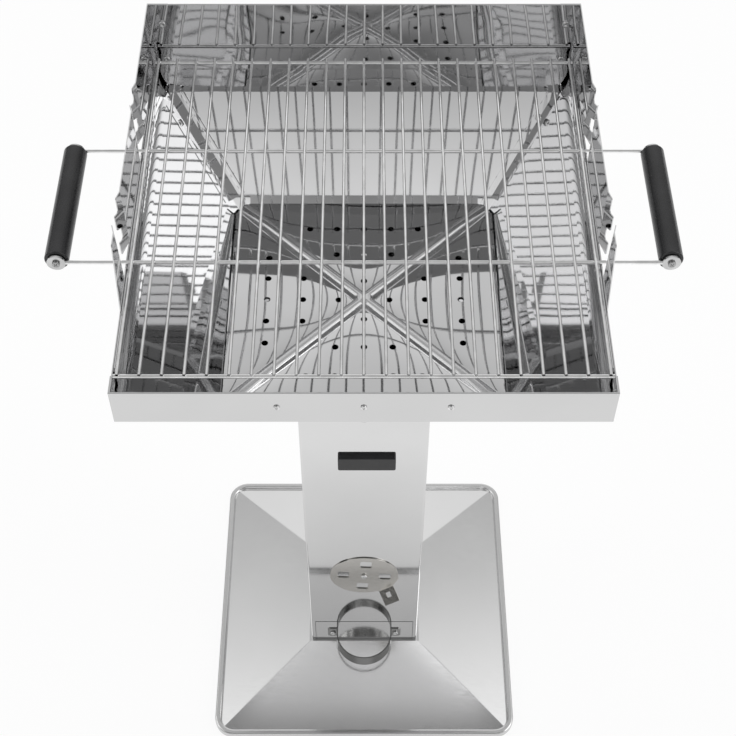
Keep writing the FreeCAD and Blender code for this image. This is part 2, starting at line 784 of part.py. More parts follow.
def side_wall(side):
    """A side wall: low in front, tall behind, with two open slots, rear return flange and bottom lip."""
    inner = side * inner_half_x
    front = inner_y(-1)
    rear = outer_y(1)
    crest_y = outer_y(-1) + guard_front_run
    slope_foot = crest_y - guard_slope_run
    feet_y = [rod_y(1) - rear_slot_reach, rod_y(-1) - front_slot_reach]
    tops_y = [feet_y[0], feet_y[1] - front_slot_lean]
    folds_y = [rod_y(1) + flap_fold_reach, rod_y(-1) + flap_fold_reach]
    outline = [(front, frame_bottom), (rear, frame_bottom), (rear, guard_top)]
    for fold_y, foot_y, top_y in zip(folds_y, feet_y, tops_y):
        outline += [(fold_y, guard_top), (fold_y, slot_floor), (foot_y, slot_floor), (top_y, guard_top)]
    outline += [(crest_y, guard_top), (slope_foot, apron_top), (front, apron_top)]
    face = flat_plate([Vector(inner, y, z) for y, z in outline], Vector(side * sheet, 0, 0))
    crest = []
    feet = []
    for edge in face.Edges:
        spot = edge.CenterOfMass
        if abs(edge.Length - sheet) < 0.01 and edge.BoundBox.XLength > sheet / 2:
            if abs(spot.y - crest_y) < 0.01 and spot.z > slot_floor:
                crest.append(edge)
            if min(abs(spot.y - foot_y) for foot_y in feet_y) < 0.01 and abs(spot.z - slot_floor) < 0.01:
                feet.append(edge)
    face = face.makeFillet(guard_corner_round, crest)
    face = face.makeFillet(slot_corner_round, feet)
    flaps = [slot_flap(side, rod_y(sy)) for sy in (-1, 1)]
    lugs = [slot_lug(side, top_y) for top_y in tops_y]
    back = block(side * frame_half_x, side * (frame_half_x - return_width), rear, rear + sheet,
                 frame_bottom, guard_top)
    lip_front = front + front_lip + running_gap
    lip_rear = inner_y(1) - rear_lip - running_gap
    lip = block(inner, side * (inner_half_x - side_lip), lip_front, lip_rear, frame_bottom, ledge_base)
    wall = face.fuse([back, lip] + flaps + lugs).removeSplitter()
    direction = Vector(side, 0, 0)
    wall = drill(wall, side_rivet_seats(side) + corner_rivet_seats(side), direction, rivet_diameter)
    return drill(wall, return_bolt_seats(side), Vector(0, 1, 0), screw_diameter)


def rear_wall():
    """The tall rear wall between the side walls, with a hem behind its top edge and a lip below."""
    front = inner_y(1)
    back = outer_y(1)
    face = block(-inner_half_x, inner_half_x, front, back, frame_bottom, guard_top)
    hem_half = frame_half_x - return_width - running_gap
    hem = block(-hem_half, hem_half, back, back + sheet, guard_top - hem_height, guard_top)
    lip = block(-inner_half_x, inner_half_x, front - rear_lip, front, frame_bottom, ledge_base)
    wall = round_top(face.fuse([hem, lip]).removeSplitter(), guard_top)
    behind = Vector(0, 1, 0)
    wall = drill(wall, long_rivet_seats(1), behind, rivet_diameter)
    for side in (-1, 1):
        wall = drill(wall, return_bolt_seats(side), behind, screw_diameter)
    return wall


# Charcoal tray

def rib_prism(width, top_width, height, length, base_z):
    """A straight rib with sloping flanks and ends and a rounded crest, along X, centred on the origin."""
    half = length / 2
    flank = (width - top_width) / 2
    rib = taper((-half, half, -width / 2, width / 2, base_z),
                (-half + flank, half - flank, -top_width / 2, top_width / 2, base_z + height))
    crest = [edge for edge in rib.Edges
             if edge.Length > width and edge.BoundBox.ZMin > base_z + height / 2]
    return rib.makeFillet(rib_crest_round, crest)


def charcoal_tray():
    """The pierced tray: front and rear lips that lie on the funnel, crossed ribs and ash holes."""
    half_x = tray_width / 2
    half_y = tray_depth / 2
    top = tray_base + tray_sheet
    plate = block(-half_x, half_x, -half_y, half_y, tray_base, top)
    lips = []
    for sy in (-1, 1):
        run = tray_sheet * math.hypot(1.0, slope_y(sy))
        lip_run = slope_y(sy) * tray_lip_height
        low = sorted((sy * (half_y - run), sy * half_y))
        high = sorted((sy * (half_y - run + lip_run), sy * (half_y + lip_run)))
        lips.append(taper((-half_x, half_x, low[0], low[1], tray_base),
                          (-half_x, half_x, high[0], high[1], tray_base + tray_lip_height)))
    tray = plate.fuse(lips)
    corner_reach = math.hypot(half_x, half_y)
    length = 2 * (corner_reach - tray_corner_cut - rib_end_margin)
    turn = math.degrees(math.atan2(half_y, half_x))
    ribs = []
    grooves = []
    inset = tray_sheet * 1.2
    for angle in (turn, -turn):
        rib = rib_prism(rib_width, rib_top_width, rib_height, length, top)
        groove = rib_prism(rib_width - 2 * inset, rib_top_width - inset, rib_height,
                           length - 2 * inset, tray_base)
        for solid in (rib, groove):
            solid.rotate(Vector(0, 0, 0), Vector(0, 0, 1), angle)
        ribs.append(rib)
        grooves.append(groove)
    tray = tray.fuse(ribs).cut(grooves)
    cuts = []
    for sx in (-1, 1):
        for sy in (-1, 1):
            lip_run = slope_y(sy) * tray_lip_height
            corner = Vector(sx * (half_x + 1), sy * (half_y + lip_run + 1), tray_base - 1)
            size = tray_corner_cut + lip_run
            triangle = [corner, corner - Vector(sx * size, 0, 0), corner - Vector(0, sy * size, 0)]
            cuts.append(flat_plate(triangle, Vector(0, 0, tray_lip_height + 2)))
    holes = []
    for quarter in range(4):
        for row, count in enumerate(ash_row_counts):
            for place in range(count):
                offset = (place - (count - 1) / 2) * ash_hole_pitch
                foot = Vector(offset, ash_row_start + ash_row_pitch * row, tray_base - tray_sheet)
                hole = Part.makeCylinder(ash_hole_diameter / 2, 4 * tray_sheet, foot)
                hole.rotate(Vector(0, 0, 0), Vector(0, 0, 1), 90 * quarter)
                holes.append(hole)
    tray = tray.cut(cuts + holes).removeSplitter()
    tray.translate(Vector(0, tray_centre, 0))
    return tray


# Grate

def grate_bars():
    """The long bars, welded on top of the cross bars and the handle rods."""
    reach = grate_depth / 2 + bar_diameter / 2
    first = -bar_pitch * (bar_count - 1) / 2
    bars = []
    for i in range(bar_count):
        x = first + bar_pitch * i
        front = Vector(x, frame_setback - reach, bar_height)
        bars.append(rod(front, front + Vector(0, 2 * reach, 0), bar_diameter))
    return bars


def grate_cross_bars():
    """The front and rear cross bars."""
    half = cross_length / 2
    return [rod(Vector(-half, y, cross_height), Vector(half, y, cross_height), cross_diameter)
            for y in (frame_setback - grate_depth / 2, frame_setback + grate_depth / 2)]


def handle_rod(y):
    """A rod that crosses the grate, leaves by the wall slots and is welded to an eye at each end."""
    bar = rod(Vector(-grip_offset, y, rod_height), Vector(grip_offset, y, rod_height), rod_diameter)
    ends = [Part.makeCylinder(eye_diameter / 2 + hole_gap, 2 * rod_diameter,
                              Vector(side * grip_offset, y - rod_diameter, rod_height), Vector(0, 1, 0))
            for side in (-1, 1)]
    return bar.cut(ends)


def rod_eye(side, y):
    """The flat eye at one end of a handle rod, through which the grip is bolted."""
    face = Vector(side * grip_offset, y - eye_thickness / 2, rod_height)
    back = Vector(0, 1, 0)
    eye = Part.makeCylinder(eye_diameter / 2, eye_thickness, face, back)
    hole = Part.makeCylinder(grip_bolt_diameter / 2 + hole_gap, eye_thickness, face, back)
    return eye.cut(hole)


def grip(side):
    """A round grip between the two rod eyes, with a bore for its bolt."""
    half = rod_spacing / 2 - rod_diameter / 2 - grip_end_gap
    centre = Vector(side * grip_offset, frame_setback - half, rod_height)
    body = Part.makeCylinder(grip_diameter / 2, 2 * half, centre, Vector(0, 1, 0))
    body = body.makeFillet(grip_round, [edge for edge in body.Edges if edge.Length > grip_diameter
                                        and edge.BoundBox.YLength < 0.01])
    bore = Part.makeCylinder(grip_bolt_diameter / 2 + hole_gap, 2 * half, centre, Vector(0, 1, 0))
    return body.cut(bore)


def grip_bolt_seat(side):
    """The front face of the front rod's eye."""
    y = rod_y(-1) - eye_thickness / 2
    return Vector(side * grip_offset, y, rod_height)


def grip_bolt_reach():
    """The length between the outer faces of the two eyes on one grip."""
    return rod_spacing + eye_thickness


# Write every node

def write_all():
    """Build each piece and write it under its own name."""
    ways = [Vector(0, -1, 0), Vector(0, 1, 0), Vector(-1, 0, 0), Vector(1, 0, 0)]
    double = 2 * sheet
    down = Vector(0, 0, -1)
    inward_y = Vector(0, 1, 0)

    save("base_plate", [base_plate()])
    save("base_bolts", [screw(seat, down, double) for seat in foot_bolt_seats()])
    save("base_nuts", [nut(seat, down, double) for seat in foot_bolt_seats()])

    save("column_front_shell", [column_front_shell()])
    save("column_rear_panel", [column_rear_panel()])
    save("column_rivets", [rivet(seat, Vector(-side, 0, 0), double)
                           for side in (-1, 1) for seat in column_rivet_seats(side)])
    save("drawer_rail_left", [drawer_rail(-1)])
    save("drawer_rail_right", [drawer_rail(1)])
    save("drawer_rail_rivets", [rivet(seat, Vector(-side, 0, 0), double)
                                for side in (-1, 1) for seat in rail_rivet_seats(side)])

    strap_grip = strap_thickness + double
    save("ash_drawer_box", [drawer_box()])
    save("ash_drawer_front", [drawer_front()])
    save("drawer_handle", [drawer_strap()])
    save("drawer_handle_screws", [screw(seat, inward_y, strap_grip) for seat in strap_screw_seats()])
    save("drawer_handle_nuts", [nut(seat, inward_y, strap_grip) for seat in strap_screw_seats()])

    damper_grip = double + 2 * running_gap
    save("vent_disc", [damper_disc()])
    save("vent_screw", [screw(damper_screw_seat(), inward_y, damper_grip)])
    save("vent_nut", [nut(damper_screw_seat(), inward_y, damper_grip)])

    save("funnel_front_panel", [funnel_long_panel(-1)])
    save("funnel_rear_panel", [funnel_long_panel(1)])
    save("funnel_left_panel", [funnel_side_panel(-1)])
    save("funnel_right_panel", [funnel_side_panel(1)])
    save("funnel_seam_screws", [screw(seat, normal, double) for seat, normal in seam_seats()])
    save("funnel_seam_nuts", [nut(seat, normal, double) for seat, normal in seam_seats()])
    neck = [(seat, way * -1) for way in ways for seat in neck_screw_seats(way)]
    save("funnel_neck_screws", [screw(seat, inward, double) for seat, inward in neck])
    save("funnel_neck_nuts", [nut(seat, inward, double) for seat, inward in neck])

    save("front_apron", [front_apron()])
    save("side_wall_left", [side_wall(-1)])
    save("side_wall_right", [side_wall(1)])
    save("rear_wall", [rear_wall()])
    save("front_frame_rivets", [rivet(seat, inward_y, double) for seat in long_rivet_seats(-1)])
    save("rear_frame_rivets", [rivet(seat, inward_y * -1, double) for seat in long_rivet_seats(1)])
    triple = double + sheet
    for name, side in (("left", -1), ("right", 1)):
        seats = side_rivet_seats(side)
        save(name + "_frame_rivets", [rivet(seat, Vector(-side, 0, 0), triple) for seat in seats])
    save("apron_corner_rivets", [rivet(seat, Vector(-side, 0, 0), double)
                                 for side in (-1, 1) for seat in corner_rivet_seats(side)])
    returns = [seat for side in (-1, 1) for seat in return_bolt_seats(side)]
    save("rear_corner_bolts", [screw(seat, inward_y, double) for seat in returns])
    save("rear_corner_nuts", [nut(seat, inward_y, double) for seat in returns])

    save("charcoal_tray", [charcoal_tray()])

    save("grate_bars", grate_bars())
    save("grate_cross_bars", grate_cross_bars())
    save("handle_rod_front", [handle_rod(rod_y(-1))])
    save("handle_rod_rear", [handle_rod(rod_y(1))])
    save("rod_eyes", [rod_eye(side, rod_y(sy)) for side in (-1, 1) for sy in (-1, 1)])
    save("grip_left", [grip(-1)])
    save("grip_right", [grip(1)])
    save("grip_bolts", [screw(grip_bolt_seat(side), inward_y, grip_bolt_reach(), grip_bolt_diameter)
                        for side in (-1, 1)])
    save("grip_nuts", [nut(grip_bolt_seat(side), inward_y, grip_bolt_reach(), grip_bolt_diameter,
                           nut_width + double) for side in (-1, 1)])


os.makedirs("parts", exist_ok=True)
write_all()
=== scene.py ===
import bmesh
import bpy
import json
import math
from mathutils import Matrix, Vector


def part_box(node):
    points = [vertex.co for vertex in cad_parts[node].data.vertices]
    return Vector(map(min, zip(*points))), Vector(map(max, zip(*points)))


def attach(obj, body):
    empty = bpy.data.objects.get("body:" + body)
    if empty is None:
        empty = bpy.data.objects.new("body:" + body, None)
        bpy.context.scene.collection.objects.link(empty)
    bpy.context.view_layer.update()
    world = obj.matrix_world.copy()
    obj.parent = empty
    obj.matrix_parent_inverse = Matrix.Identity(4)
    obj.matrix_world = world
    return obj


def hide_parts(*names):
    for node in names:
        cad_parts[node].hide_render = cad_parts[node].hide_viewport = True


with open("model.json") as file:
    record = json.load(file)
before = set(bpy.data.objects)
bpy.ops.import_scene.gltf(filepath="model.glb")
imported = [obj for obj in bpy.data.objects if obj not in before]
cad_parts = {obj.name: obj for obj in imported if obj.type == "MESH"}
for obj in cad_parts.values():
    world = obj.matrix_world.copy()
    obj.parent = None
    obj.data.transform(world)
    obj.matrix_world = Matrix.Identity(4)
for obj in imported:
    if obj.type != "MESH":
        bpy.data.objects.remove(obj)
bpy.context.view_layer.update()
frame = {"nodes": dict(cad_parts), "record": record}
scene = bpy.context.scene

# Stainless charcoal grill on a column: the finishes of its sheet, wire, grips and fasteners, a blank plate on
# the column, the details of its fasteners, tray and funnel corners, and a plain studio round it.
# Metres; X right, Y away from the person who cooks, Z up.

# Camera, as the photograph was taken: its place, its tilt below level in degrees, its focal length and the
# point where its axis meets the picture in pixels, the picture's side, and the width of its sensor
camera_place = (0.001, -0.9857, 1.8094)
camera_tilt = 52.671
focal_length_px = 1410.8
axis_px = (364.9, 387.3)
picture_px = 736
sensor_mm = 36.0

# Blank plate on the column's face
plate_half_width = 0.0332
plate_bottom = 0.4618
plate_top = 0.4846
plate_depth = 0.0055
plate_offset = 0.0032
plate_corner = 0.0022
plate_corner_steps = 5
plate_rim = 0.0007

# Meshes: the reach within which points are one, that of a cut across a face and that of a search for an edge,
# the angles up to which faces are flat and above which an edge is a crease, and the steps of a rounded edge
weld_reach = 1e-6
cut_reach = 1e-7
search_reach = 1e-5
flat_angle = math.radians(1.0)
crease_angle = math.radians(32.0)
round_steps = 3

# Fasteners: which faces are the tops of heads, and the shapes of heads and nuts
head_sides_least = 12
head_out_of_round = 1.06
head_size_share = 0.93
rivet_rim = 0.0007
rivet_pit_share = 0.42
rivet_pit_slope_share = 0.04
rivet_pit_depth = 0.0005
screw_rim = 0.0008
cross_reach_share = 0.66
cross_width_share = 0.16
cross_slope_share = 0.03
cross_depth = 0.0009
cross_arm_share = 0.9
nut_side_least = 0.0025
nut_chamfer = 0.0004
nut_chamfer_steps = 2

# Charcoal tray: its sheet, its corners, and its lips, whose run is given for the front and the rear
tray_sheet = 0.0012
tray_corner_cut = 0.016
tray_lip_run = (0.0055, 0.0063)
tray_lip_lean = 0.0004
tray_lip_height = 0.0077
tray_lip_inset = 0.0006

# Crossed ribs of the tray, the soft draw of the sheet beside them, which goes down, and the steps of the mesh
rib_height = 0.005
rib_crown_half = 0.0045
rib_crown_drop = 0.001
rib_foot = 0.008
rib_end_reach = 0.1866
rib_end_slope = 0.007
draw_height = -0.0008
draw_reach = 0.011
draw_border = 0.018
line_step = 0.0009
line_growth = 1.22

# Ash holes of the tray, in rows that widen from its middle to each side
ash_hole_radius = 0.0035
ash_hole_sides = 32
ash_hole_cutter_length = 0.03
ash_hole_pitch = 0.030
ash_row_start = 0.027
ash_row_pitch = 0.0383
ash_row_counts = (1, 3, 5)

# Seam strips in the rear corners of the funnel, along the creases between its side panels and its rear panel:
# the ends of the right crease, the part of it that the strip covers, and the strip's section
crease_low = (0.071, 0.071, 0.565)
crease_high = (0.218, 0.226, 0.762)
strip_span = (0.525, 0.985)
strip_sheet = 0.0008
strip_flank_reach = 0.0042
strip_flank_gap = 0.0016
strip_rear_reach = 0.0135
strip_rear_gap = 0.0014
strip_hem_reach = 0.0160
strip_hem_gap = 0.0002
strip_round = 0.0007

# Studio: the tone overhead, the dark gap low down all round, and zones that stand out from them, each with
# its direction, the angles in degrees at which it begins and is full, and its tone
studio_tone = 0.528
gap_tone = 0.08
gap_edge = (0.06, 0.30)
studio_zones = [
    ((0.0, 0.90, 0.45), 34.0, 14.0, 0.896),
    ((0.55, 0.20, 0.81), 20.0, 8.0, 1.28),
    ((-0.55, 0.20, 0.81), 20.0, 8.0, 1.2),
    ((0.85, -0.25, 0.46), 26.0, 12.0, 2.16),
    ((-0.85, -0.25, 0.46), 26.0, 12.0, 1.44),
    ((0.0, -0.88, 0.47), 24.0, 12.0, 1.0),
    ((0.0, -0.42, 0.91), 36.0, 22.0, 0.24),
    ((-0.85, -0.49, 0.18), 22.0, 15.0, 0.08),
]

# Floor: its half width, how far it lies below the base, its matt colour and roughness, the share by which it
# glows, and the tones of its glow in the sheet, near and far, with the distances at which they hold: a
# painted shade, darker near the object, in place of the object's shadow
floor_half_width = 14.0
floor_drop = 0.0005
floor_colour = (0.86, 0.86, 0.86)
floor_rough = 0.9
floor_glow = 0.90
mirrored_floor_painted_shade = (0.66, 1.0)
painted_shade_reach = (0.18, 0.44)

# Lamps: place, aim, width and height, and watts
lamps = {
    "overhead": ((0.0, 1.0, 3.2), (0.0, 0.0, 0.6), (3.4, 2.4), 30.0),
    "left": ((-2.6, -0.6, 1.7), (0.0, 0.0, 0.5), (1.6, 2.4), 13.0),
    "right": ((2.6, -0.4, 1.9), (0.0, 0.0, 0.5), (1.6, 2.4), 11.0),
}

# Tints of the finishes, linear
mirror_tint = (0.66, 0.66, 0.664)
column_tint = (0.70, 0.70, 0.70)
satin_tint = (0.76, 0.76, 0.76)
apron_tint = (0.645, 0.645, 0.645)
damper_tint = (0.62, 0.605, 0.575)
wire_tint = (0.93, 0.93, 0.93)
fastener_tint = (0.74, 0.74, 0.74)
bolt_tint = (0.42, 0.42, 0.42)
eye_tint = (0.60, 0.60, 0.60)
# The strap's tint is far darker than the other steel's: a painted shade for the dark reflections on it
strap_painted_shade_tint = (0.36, 0.36, 0.355)
grip_tint = (0.012, 0.012, 0.013)
plate_tint = (0.014, 0.014, 0.015)

# Patterns of the finishes: the part of their range that is used, each one's scale and detail, the shares of a
# tint or a roughness between which they vary it, and the strength and the depth of their relief
pattern_range = (0.35, 0.65)
steel_drift = (7.0, 4.0)
steel_streaks = (90.0, 3.0)
steel_waves = (5.5, 1.5)
steel_rough_shares = (0.8, 1.25)
steel_wave_strength = 0.5
steel_streak_strength = 0.35
flat_wave = 0.0001
faint_grain = 0.0000005
wire_drift = (60.0, 3.0)
wire_pits = (900.0, 2.0)
wire_tint_shares = (0.9, 1.08)
wire_rough_shares = (0.8, 1.3)
wire_pit_strength = 0.25
wire_pit_depth = 0.00002
polymer_drift = (35.0, 2.0)
polymer_grain_detail = 4.0
polymer_tint_shares = (0.8, 1.3)
polymer_rough_shares = (0.88, 1.15)
polymer_grain_strength = 0.4

# Streaks of the sheet, as the stretch of their pattern along X, Y and Z
level_streaks = (1.0, 1.0, 12.0)
fine_level_streaks = (1.0, 1.0, 14.0)
upright_streaks = (14.0, 14.0, 1.0)
base_streaks = (1.0, 14.0, 1.0)
apron_streaks = (1.0, 14.0, 14.0)


# Materials

class Nodes:
    """An empty node tree of a material or a world, with the two steps that build it up."""

    def __init__(self, owner):
        owner.use_nodes = True
        self.tree = owner.node_tree
        self.tree.nodes.clear()

    def add(self, kind, **values):
        node = self.tree.nodes.new(kind)
        for key, value in values.items():
            setattr(node, key, value)
        return node

    def join(self, source, target):
        self.tree.links.new(source, target)


class Finish(Nodes):
    """A material's node tree, with the few steps that every finish here repeats."""

    def __init__(self, name):
        self.material = bpy.data.materials.new(name)
        super().__init__(self.material)
        self.output = self.add("ShaderNodeOutputMaterial")
        self.shader = self.add("ShaderNodeBsdfPrincipled")
        self.join(self.shader.outputs["BSDF"], self.output.inputs["Surface"])
        self.place = self.add("ShaderNodeTexCoord").outputs["Object"]

    def stretched(self, scale):
        """Object coordinates scaled along each axis."""
        mapping = self.add("ShaderNodeMapping")
        mapping.inputs["Scale"].default_value = scale
        self.join(self.place, mapping.inputs["Vector"])
        return mapping.outputs["Vector"]

    def noise(self, scale, detail, stretch=None):
        """A pattern of noise on the piece, stretched along its axes or not."""
        node = self.add("ShaderNodeTexNoise")
        node.inputs["Scale"].default_value = scale
        node.inputs["Detail"].default_value = detail
        self.join(self.stretched(stretch) if stretch else self.place, node.inputs["Vector"])
        return node.outputs["Fac"]

    def ranged(self, source, low, high, start=pattern_range[0], end=pattern_range[1]):
        """A value that runs from low to high while its source runs from start to end."""
        node = self.add("ShaderNodeMapRange")
        node.inputs["From Min"].default_value = start
        node.inputs["From Max"].default_value = end
        node.inputs["To Min"].default_value = low
        node.inputs["To Max"].default_value = high
        self.join(source, node.inputs["Value"])
        return node.outputs["Result"]

    def bump(self, height, strength, distance, below=None):
        """The surface's normal with a pattern's relief on it."""
        node = self.add("ShaderNodeBump")
        node.inputs["Strength"].default_value = strength
        node.inputs["Distance"].default_value = distance
        self.join(height, node.inputs["Height"])
        if below is not None:
            self.join(below, node.inputs["Normal"])
        return node.outputs["Normal"]

    def colour(self, source, tint, shares):
        """Let a pattern vary the base colour between two shares of a tint."""
        node = self.add("ShaderNodeMix", data_type="RGBA")
        node.inputs["A"].default_value = (*shade(tint, shares[0]), 1.0)
        node.inputs["B"].default_value = (*shade(tint, shares[1]), 1.0)
        self.join(self.ranged(source, 0.0, 1.0), node.inputs["Factor"])
        self.join(node.outputs["Result"], self.shader.inputs["Base Color"])

    def roughen(self, source, rough, shares):
        """Let a pattern vary the roughness between two shares of it."""
        self.join(self.ranged(source, rough * shares[0], rough * shares[1]), self.shader.inputs["Roughness"])

    def relief(self, normal):
        self.join(normal, self.shader.inputs["Normal"])


def shade(tint, factor):
    return tuple(channel * factor for channel in tint)


def steel(name, tint, rough, wave, brush, spread, grain=faint_grain):
    """Sheet steel: a tone that drifts slowly, long low waves from rolling and fine brushing along one way."""
    finish = Finish(name)
    finish.shader.inputs["Metallic"].default_value = 1.0
    finish.colour(finish.noise(*steel_drift), tint, (1 - spread, 1 + spread))
    streaks = finish.noise(*steel_streaks, brush)
    finish.roughen(streaks, rough, steel_rough_shares)
    waves = finish.bump(finish.noise(*steel_waves), steel_wave_strength, wave)
    finish.relief(finish.bump(streaks, steel_streak_strength, grain, waves))
    return finish.material


def wire(name, tint, rough):
    """Plated wire: bright, with the slight unevenness of plating."""
    finish = Finish(name)
    finish.shader.inputs["Metallic"].default_value = 1.0
    finish.colour(finish.noise(*wire_drift), tint, wire_tint_shares)
    pits = finish.noise(*wire_pits)
    finish.roughen(pits, rough, wire_rough_shares)
    finish.relief(finish.bump(pits, wire_pit_strength, wire_pit_depth))
    return finish.material


def black_polymer(name, tint, rough, grain_scale, grain_depth):
    """Dark moulded polymer with a fine grain."""
    finish = Finish(name)
    finish.colour(finish.noise(*polymer_drift), tint, polymer_tint_shares)
    grain = finish.noise(grain_scale, polymer_grain_detail)
    finish.roughen(grain, rough, polymer_rough_shares)
    finish.relief(finish.bump(grain, polymer_grain_strength, grain_depth))
    return finish.material


# Steel is given its roughness, the depth of its waves, its streaks, the spread of its tone and, unless it is
# faint, the depth of its grain; wire its roughness; polymer its roughness and its grain's scale and depth
finishes = {
    "mirror_steel": steel("mirror_steel", mirror_tint, 0.03, 0.0008, level_streaks, 0.03),
    "column_steel": steel("column_steel", column_tint, 0.06, flat_wave, upright_streaks, 0.02),
    "satin_steel": steel("satin_steel", satin_tint, 0.17, flat_wave, base_streaks, 0.02),
    "damper_steel": steel("damper_steel", damper_tint, 0.20, flat_wave, fine_level_streaks, 0.06, 0.000002),
    "plated_wire": wire("plated_wire", wire_tint, 0.10),
    "fastener_steel": wire("fastener_steel", fastener_tint, 0.18),
    "grip_black": black_polymer("grip_black", grip_tint, 0.30, 700.0, 0.00008),
}
own_finishes = {
    "charcoal_tray": steel("tray_steel", mirror_tint, 0.03, 0.004, level_streaks, 0.03),
    "rear_wall": steel("wall_steel", mirror_tint, 0.03, 0.006, level_streaks, 0.03),
    "grip_bolts": wire("bolt_steel", bolt_tint, 0.22),
    "rod_eyes": wire("eye_steel", eye_tint, 0.14),
    # The strap's steel is a darker copy of the sheet's steel: a painted shade
    "drawer_handle": steel("strap_steel_painted_shade", strap_painted_shade_tint, 0.16, flat_wave, fine_level_streaks, 0.03),
    "front_apron": steel("apron_steel", apron_tint, 0.12, flat_wave, apron_streaks, 0.02),
}
plate_black = black_polymer("plate_black", plate_tint, 0.34, 500.0, 0.00003)
slots = {row["node"]: row["material_slot"] for row in frame["record"]["subparts"]}


def finish_of(name):
    """A node's own finish, or else that of its slot."""
    return own_finishes.get(name, finishes[slots[name]])


for name in slots:
    node = frame["nodes"][name]
    node.data.materials.clear()
    node.data.materials.append(finish_of(name))


# Steps that the pieces below share

def placed(name, mesh):
    """An object at the origin with a mesh of its own."""
    data = bpy.data.meshes.new(name)
    mesh.to_mesh(data)
    mesh.free()
    item = bpy.data.objects.new(name, data)
    scene.collection.objects.link(item)
    return item


def finished(name, mesh, material, body):
    """A piece in a finish, which rides on a body."""
    piece = placed(name, mesh)
    piece.data.materials.append(material)
    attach(piece, body)
    return piece


def smoothed(piece):
    """Shade a piece smooth, apart from its creases."""
    piece.data.shade_smooth()
    piece.data.set_sharp_from_angle(angle=crease_angle)


def fit(name, mesh):
    """Put a detailed piece in a node's place, on its body and in its finish."""
    bodies = frame["record"]["behaviour"]["bodies"]
    body = next(title for title, nodes in bodies.items() if name in nodes)
    piece = finished(name + "_detail", mesh, finish_of(name), body)
    smoothed(piece)
    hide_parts(name)


def bevelled(mesh, edges, offset, steps=round_steps):
    """Take the edges of a mesh off, in a few steps."""
    bmesh.ops.bevel(mesh, geom=edges, offset=offset, offset_type="OFFSET", segments=steps, profile=0.5,
                    affect="EDGES", material=-1)


def drawn_out(mesh, edges, way):
    """Draw edges of a mesh out to new faces along a way."""
    drawn = bmesh.ops.extrude_edge_only(mesh, edges=edges)["geom"]
    ends = [part for part in drawn if isinstance(part, bmesh.types.BMVert)]
    bmesh.ops.translate(mesh, vec=way, verts=ends)


def pierced(mesh, cutters):
    """A mesh with cutters taken out of it."""
    sheet = placed("uncut_sheet", mesh)
    tools = placed("hole_cutters", cutters)
    cut = sheet.modifiers.new("holes", "BOOLEAN")
    cut.operation = "DIFFERENCE"
    cut.solver = "EXACT"
    cut.object = tools
    result = bmesh.new()
    result.from_object(sheet, bpy.context.evaluated_depsgraph_get())
    for item in (sheet, tools):
        data = item.data
        bpy.data.objects.remove(item)
        bpy.data.meshes.remove(data)
    return result


# Blank plate

def blank_plate():
    """The thick black plate on the column's face, with rounded corners and edges and nothing on it."""
    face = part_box("column_front_shell")[0][1]
    mesh = bmesh.new()
    bmesh.ops.create_cube(mesh, size=1.0)
    size = Vector((2 * plate_half_width, plate_depth, plate_top - plate_bottom))
    bmesh.ops.scale(mesh, vec=size, verts=mesh.verts)
    half = plate_depth / 2
    corners = [edge for edge in mesh.edges if abs(edge.verts[0].co.y - edge.verts[1].co.y) > half]
    bevelled(mesh, corners, plate_corner, plate_corner_steps)
    rim = [edge for edge in mesh.edges if all(vert.co.y < -half + weld_reach for vert in edge.verts)]
    bevelled(mesh, rim, plate_rim)
    centre = Vector((plate_offset, face - half, (plate_top + plate_bottom) / 2))
    bmesh.ops.translate(mesh, vec=centre, verts=mesh.verts)
    finished("column_plate", mesh, plate_black, "stand")


# Fasteners, which the CAD model has as plain cylinders and prisms

def whole_faces(name):
    """A node's mesh with its triangles joined to whole faces."""
    mesh = bmesh.new()
    mesh.from_mesh(frame["nodes"][name].data)
    bmesh.ops.remove_doubles(mesh, verts=mesh.verts, dist=weld_reach)
    bmesh.ops.dissolve_limit(mesh, angle_limit=flat_angle, verts=mesh.verts, edges=mesh.edges)
    return mesh


def head_tops(mesh):
    """The largest flat round faces of a mesh, which are the tops of its heads."""
    discs = []
    for face in mesh.faces:
        centre = face.calc_center_bounds()
        reaches = [(vert.co - centre).length for vert in face.verts]
        if len(reaches) >= head_sides_least and max(reaches) < min(reaches) * head_out_of_round:
            discs.append((max(reaches), face))
    largest = max(reach for reach, face in discs)
    return [face for reach, face in discs if reach > largest * head_size_share]


def sink_pit(mesh, face, radius):
    """The round hole that a rivet's pin leaves in its head."""
    rest = radius * (1 - rivet_pit_share)
    slope = radius * rivet_pit_slope_share
    bmesh.ops.inset_individual(mesh, faces=[face], thickness=rest, depth=0.0)
    bmesh.ops.inset_individual(mesh, faces=[face], thickness=slope, depth=-rivet_pit_depth)


def sink_cross(mesh, face, radius):
    """The crossed recess in a screw's head."""
    bmesh.ops.inset_individual(mesh, faces=[face], thickness=radius * (1 - cross_reach_share), depth=0.0)
    centre = face.calc_center_bounds()
    along = face.normal.orthogonal().normalized()
    across = face.normal.cross(along)
    half_width = radius * cross_width_share
    cut = [face, *face.edges, *face.verts]
    for way in (along, across):
        for side in (-1, 1):
            spot = centre + way * half_width * side
            cut = bmesh.ops.bisect_plane(mesh, geom=cut, dist=cut_reach, plane_co=spot, plane_no=way)["geom"]
    arms = []
    for part in cut:
        if isinstance(part, bmesh.types.BMFace):
            offset = part.calc_center_bounds() - centre
            if min(abs(offset.dot(along)), abs(offset.dot(across))) < half_width * cross_arm_share:
                arms.append(part)
    bmesh.ops.inset_region(mesh, faces=arms, thickness=radius * cross_slope_share, depth=-cross_depth,
                           use_even_offset=True)


def headed(name, rim, sink):
    """Screws or rivets with domed heads and what the tool leaves in them, for the plain ones of a node."""
    mesh = whole_faces(name)
    bevelled(mesh, [edge for face in head_tops(mesh) for edge in face.edges], rim)
    for face in head_tops(mesh):
        centre = face.calc_center_bounds()
        sink(mesh, face, (face.verts[0].co - centre).length)
    return mesh


